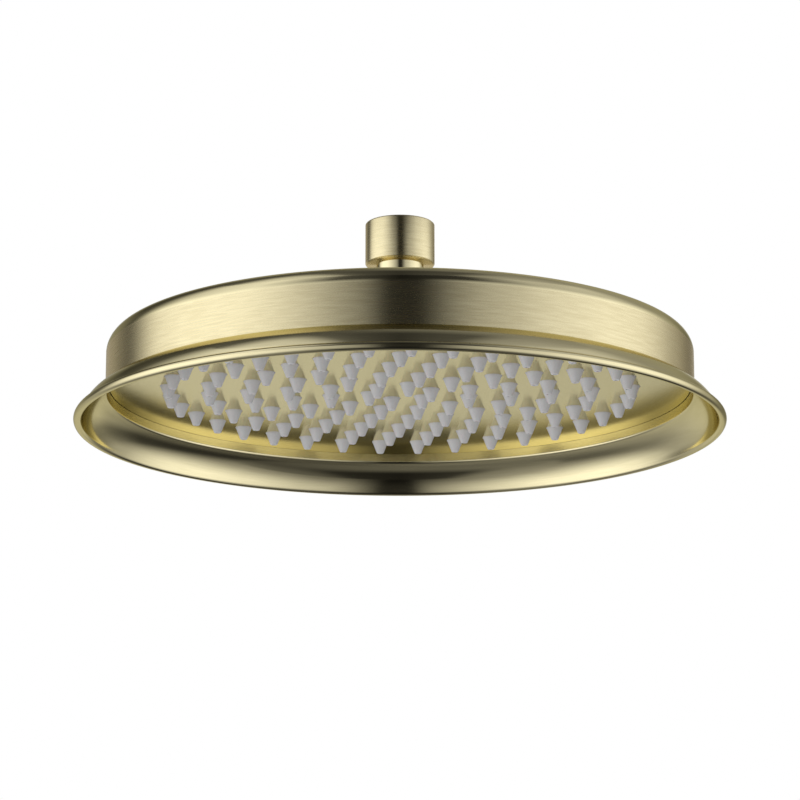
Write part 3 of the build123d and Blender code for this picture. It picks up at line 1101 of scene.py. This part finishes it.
@dataclass
class Studio:
    """A white background, a pale floor, a soft lamp, and a ring of cloth for the brass to mirror.

    The cloth is lit at both sides and dark in front and behind, and fades towards its roof and
    base, which are dark along the middle. Only mirrored rays meet it, so the camera sees the
    white background past it, and the background's even light reaches the object and the floor.
    The lamp stands low on the left, and the brass doesn't mirror it.
    """

    cloth_r: float = 1700.0
    cloth_low: float = -2900.0
    cloth_high: float = 2300.0
    floor_r: float = 30000.0
    floor_z: float = -3000.0
    floor_colour: str = "#FAFAF9"
    floor_roughness: float = 0.9
    steps: int = 96  # round the cloth, its roof and base, and the floor
    fill: float = 1.04  # strength of the background as a light
    lamp_place: tuple[float, float, float] = (-1900.0, -1100.0, -1000.0)
    lamp_size: float = 900.0
    lamp_power: float = 22.0  # watts
    # Brightness of the cloth by direction, in degrees from the camera's side towards +X
    cloth_tones: Stops = (
        (-180, 0.62), (-168, 0.62), (-157, 0.59), (-150, 0.5), (-140, 0.42), (-130, 0.36),
        (-125, 0.42), (-118, 0.6), (-104, 1.0), (-88, 1.22), (-62, 1.14), (-42, 0.84),
        (-28, 0.58), (-14, 0.3), (-5, 0.02), (8, 0.02), (14, 0.14), (28, 0.5),
        (42, 0.64), (60, 0.9), (84, 1.1), (102, 1.02), (112, 0.82), (126, 0.44),
        (134, 0.38), (140, 0.26), (148, 0.2), (155, 0.24), (166, 0.62), (180, 0.64),
    )
    # What a dark stripe on the left leaves of it, and the share of the stripe by height
    stripe_tones: Stops = (
        (-142, 1.0), (-134, 0.6), (-128, 0.25), (-123, 0.25), (-110, 0.9), (-104, 1.0),
    )
    stripe_share: Stops = ((-400, 0.0), (0, 1.0))
    # Brightness of the cloth's upper part by direction, and the share of that part by height
    upper_tones: Stops = (
        (-180, 0.35), (-164, 0.35), (-155, 0.14), (-145, 0.05), (-127, 0.08), (-118, 0.25),
        (-108, 0.46), (-98, 0.67), (-77, 0.8), (-60, 0.85), (-44, 0.5), (-27, 0.07),
        (0, 0.008), (30, 0.035), (44, 0.23), (60, 0.46), (98, 0.56), (121, 0.3),
        (145, 0.35), (164, 0.42), (180, 0.4),
    )
    upper_share: Stops = ((450, 0.0), (1000, 1.0))
    # Share of the lower part's brightness by height, at the sides and at both halves of the back
    side_fade: Stops = (
        (-2900, 0.22), (-2300, 0.29), (-1850, 0.44), (-750, 1.0), (900, 1.0),
    )
    back_left_fade: Stops = (
        (-2900, 0.24), (-2000, 0.27), (-1200, 0.5), (-900, 0.75), (-600, 0.95), (-300, 1.0),
        (350, 0.65),
    )
    back_right_fade: Stops = (
        (-2900, 0.12), (-1800, 0.12), (-1150, 0.18), (-900, 0.4), (-680, 0.6), (-420, 0.95),
        (450, 1.0),
    )
    # Share of the right half by width, and of the back by degrees from the camera's side
    right_share: Stops = ((-150, 0.0), (150, 1.0))
    back_share: Stops = ((124, 0.0), (138, 1.0))
    # Brightness of the roof and base from left to right, in front and behind
    roof_front: Stops = (
        (-1700, 0.65), (-1100, 0.6), (-900, 0.44), (-650, 0.1), (-400, 0.06), (0, 0.03),
        (400, 0.06), (650, 0.07), (1000, 0.27), (1700, 0.4),
    )
    roof_back: Stops = (
        (-1700, 0.1), (-900, 0.07), (-400, 0.09), (0, 0.16), (900, 0.25), (1700, 0.32),
    )
    base_front: Stops = (
        (-1700, 0.28), (-1100, 0.2), (-700, 0.03), (0, 0.01), (700, 0.02), (1100, 0.09),
        (1700, 0.12),
    )
    base_back: Stops = (
        (-1700, 0.24), (-1000, 0.16), (-300, 0.12), (300, 0.1), (1000, 0.06), (1700, 0.16),
    )
    # Share of what is behind by depth
    depth_share: Stops = ((-200, 0.0), (600, 1.0))

    def build(self) -> None:
        """Set up the background, the lamp, the floor, and the cloth with its roof and base."""
        self.background()
        self.lamp()
        self.floor()
        self.cloth()
        self.board("dark_roof", self.cloth_high, self.roof_front, self.roof_back)
        self.board("dark_base", self.cloth_low, self.base_front, self.base_back)

    def background(self) -> None:
        """Make the world white where it is seen or mirrored, and soft as a light."""
        world = bpy.data.worlds.new("white_studio")
        world.use_nodes = True
        tree = world.node_tree
        tree.nodes.clear()
        ray = add_node(tree, "LightPath", {}).outputs
        seen = {0: ray["Is Camera Ray"], 1: ray["Is Glossy Ray"]}
        shown = {
            0: add_node(tree, "Math", seen, operation="MAXIMUM").outputs[0],
            1: ray["Is Transmission Ray"],
        }
        share = add_node(tree, "Math", shown, operation="MAXIMUM").outputs[0]
        strength = add_node(tree, "MapRange", {"Value": share, 3: self.fill, 4: 1.0}).outputs[0]
        white = add_node(tree, "Background", {"Strength": strength, "Color": linear(WHITE)})
        add_node(tree, "OutputWorld", {"Surface": white.outputs[0]})
        bpy.context.scene.world = world

    def lamp(self) -> None:
        """Set a soft lamp low on the left, which gives the nozzles a light side."""
        data = bpy.data.lights.new("soft_key", "AREA")
        data.shape = "DISK"
        data.size = self.lamp_size * MM
        data.energy = self.lamp_power
        lamp = bpy.data.objects.new("soft_key", data)
        lamp.location = Vector(self.lamp_place) * MM
        lamp.rotation_euler = (-lamp.location).to_track_quat("-Z", "Y").to_euler()
        lamp.visible_camera = False
        lamp.visible_glossy = False
        bpy.context.scene.collection.objects.link(lamp)

    def floor(self) -> None:
        """Lay a plain pale floor under the object."""
        material, tree = empty_material("pale_floor")
        paint = {"Base Color": linear(self.floor_colour), "Roughness": self.floor_roughness}
        shader = add_node(tree, "BsdfPrincipled", paint)
        add_node(tree, "OutputMaterial", {"Surface": shader.outputs[0]})
        new_object(self.disc(self.floor_r, self.floor_z), "pale_floor", [material])

    def disc(self, radius: float, height: float) -> BMesh:
        """A level disc about the axis, of a radius and at a height."""
        mesh = bmesh.new()
        bmesh.ops.create_circle(mesh, cap_ends=True, segments=self.steps, radius=radius * MM)
        bmesh.ops.translate(mesh, verts=mesh.verts, vec=(0, 0, height * MM))
        return mesh

    def tones(
        self, tree: NodeTree, along: NodeSocket, stops: Stops, unit: float
    ) -> NodeSocket:
        """Add a run of tones along a coordinate.

        Args:
            tree: Node tree that takes the nodes.
            along: The coordinate.
            stops: Places in rising order, each with its tone.
            unit: What one step of the places is on the coordinate.

        Returns:
            The output that holds the tone.
        """
        first, last = stops[0][0], stops[-1][0]
        span = {"Value": along, 1: first * unit, 2: last * unit}
        ramp = add_node(tree, "ValToRGB", {0: add_node(tree, "MapRange", span).outputs[0]})
        marks = ramp.color_ramp.elements
        while len(marks) < len(stops):
            marks.new(1.0)
        for mark, (stop, tone) in zip(marks, stops):
            mark.position = (stop - first) / (last - first)
            mark.color = (tone, tone, tone, 1.0)
        return ramp.outputs[0]

    def glow(
        self, tree: NodeTree, share: NodeSocket, first: NodeSocket, second: NodeSocket
    ) -> None:
        """Let a material shine with a tone that turns into another.

        Args:
            tree: The material's node tree.
            share: Share of the second tone.
            first: The first tone.
            second: The second tone.
        """
        level = add_node(tree, "Mix", {0: share, 2: first, 3: second}).outputs[0]
        light = add_node(tree, "Emission", {"Color": linear(WHITE), "Strength": level})
        add_node(tree, "OutputMaterial", {"Surface": light.outputs[0]})

    def cloth(self) -> None:
        """Hang the ring of cloth."""
        mesh = bmesh.new()
        ring = bmesh.ops.create_circle(mesh, segments=self.steps, radius=self.cloth_r * MM)["verts"]
        bmesh.ops.translate(mesh, verts=ring, vec=(0, 0, self.cloth_low * MM))
        raised = bmesh.ops.extrude_edge_only(mesh, edges=mesh.edges[:])["geom"]
        rim = [g for g in raised if isinstance(g, BMVert)]
        bmesh.ops.translate(mesh, verts=rim, vec=(0, 0, (self.cloth_high - self.cloth_low) * MM))
        self.hang(mesh, "studio_cloth", self.cloth_light())

    def cloth_light(self) -> Material:
        """Light the cloth at both sides, and darken it in front and behind."""
        material, tree = empty_material("studio_cloth")
        place = add_node(tree, "TexCoord", {}).outputs["Object"]
        split = add_node(tree, "SeparateXYZ", {0: place}).outputs
        front = add_node(tree, "Math", {0: split["Y"], 1: -1.0}, operation="MULTIPLY").outputs[0]
        angle = add_node(tree, "Math", {0: split["X"], 1: front}, operation="ARCTAN2").outputs[0]
        turn = add_node(tree, "Math", {0: angle}, operation="ABSOLUTE").outputs[0]
        tone, stripe, upper = (
            self.tones(tree, angle, stops, DEGREE)
            for stops in (self.cloth_tones, self.stripe_tones, self.upper_tones)
        )
        side, left, right, striped, high = (
            self.tones(tree, split["Z"], stops, MM)
            for stops in (
                self.side_fade,
                self.back_left_fade,
                self.back_right_fade,
                self.stripe_share,
                self.upper_share,
            )
        )
        half = self.tones(tree, split["X"], self.right_share, MM)
        back = self.tones(tree, turn, self.back_share, DEGREE)
        behind = add_node(tree, "Mix", {0: half, 2: left, 3: right}).outputs[0]
        fade = add_node(tree, "Mix", {0: back, 2: side, 3: behind}).outputs[0]
        faded = add_node(tree, "Math", {0: tone, 1: fade}, operation="MULTIPLY").outputs[0]
        left_over = add_node(tree, "Mix", {0: striped, 2: 1.0, 3: stripe}).outputs[0]
        lower = add_node(tree, "Math", {0: faded, 1: left_over}, operation="MULTIPLY").outputs[0]
        self.glow(tree, high, lower, upper)
        return material

    def board(self, name: str, height: float, front: Stops, back: Stops) -> None:
        """Close the ring of cloth with a board that is dark along the middle.

        Args:
            name: Name of the board.
            height: Its height.
            front: How bright its front looks in the brass, from left to right.
            back: The same for its back.
        """
        material, tree = empty_material(name)
        place = add_node(tree, "TexCoord", {}).outputs["Object"]
        split = add_node(tree, "SeparateXYZ", {0: place}).outputs
        share = self.tones(tree, split["Y"], self.depth_share, MM)
        halves = (self.tones(tree, split["X"], stops, MM) for stops in (front, back))
        self.glow(tree, share, *halves)
        self.hang(self.disc(self.cloth_r, height), name, material)

    def hang(self, mesh: BMesh, name: str, material: Material) -> None:
        """Put something on the stage that only mirrored rays meet.

        Args:
            mesh: The thing in metres, at its place.
            name: Its name.
            material: Its material.
        """
        thing = new_object(mesh, name, [material])
        thing.visible_camera = False
        thing.visible_diffuse = False
        thing.visible_transmission = False
        thing.visible_shadow = False


@dataclass
class Viewpoint:
    """The photograph's camera: below the rim, looking up at the face."""

    lens: float = 143.38
    sensor: float = 36.0
    distance: float = 1128.7
    look_up: float = 13.51  # degrees
    target_z: float = -64.93
    sight: float = 100000.0  # how far the camera sees

    def build(self) -> None:
        """Place the camera and make it the scene's."""
        data = bpy.data.cameras.new("photo_view")
        data.lens = self.lens
        data.sensor_width = self.sensor
        data.clip_end = self.sight * MM
        camera = bpy.data.objects.new("photo_view", data)
        tilt = radians(self.look_up)
        back, down = self.distance * cos(tilt), self.distance * sin(tilt)
        camera.location = Vector((0, -back, self.target_z - down)) * MM
        camera.rotation_euler = (pi / 2 + tilt, 0, 0)
        bpy.context.scene.collection.objects.link(camera)
        bpy.context.scene.camera = camera


def main() -> None:
    """Build every piece, the studio and the camera, and report the pieces."""
    logging.basicConfig(level=logging.INFO, format="%(message)s")
    bpy.context.scene.view_settings.view_transform = "Standard"
    wardrobe = Wardrobe()
    for assembly in (Shell(), Stud(), BallJoint(), NozzleMat(), KeptPieces()):
        for piece in assembly.build(wardrobe):
            finishes = ", ".join(slot.material.name for slot in piece.material_slots)
            LOG.info("%s: %d faces, in %s", piece.name, len(piece.data.polygons), finishes)
    Studio().build()
    Viewpoint().build()


if __name__ == "__main__":
    main()
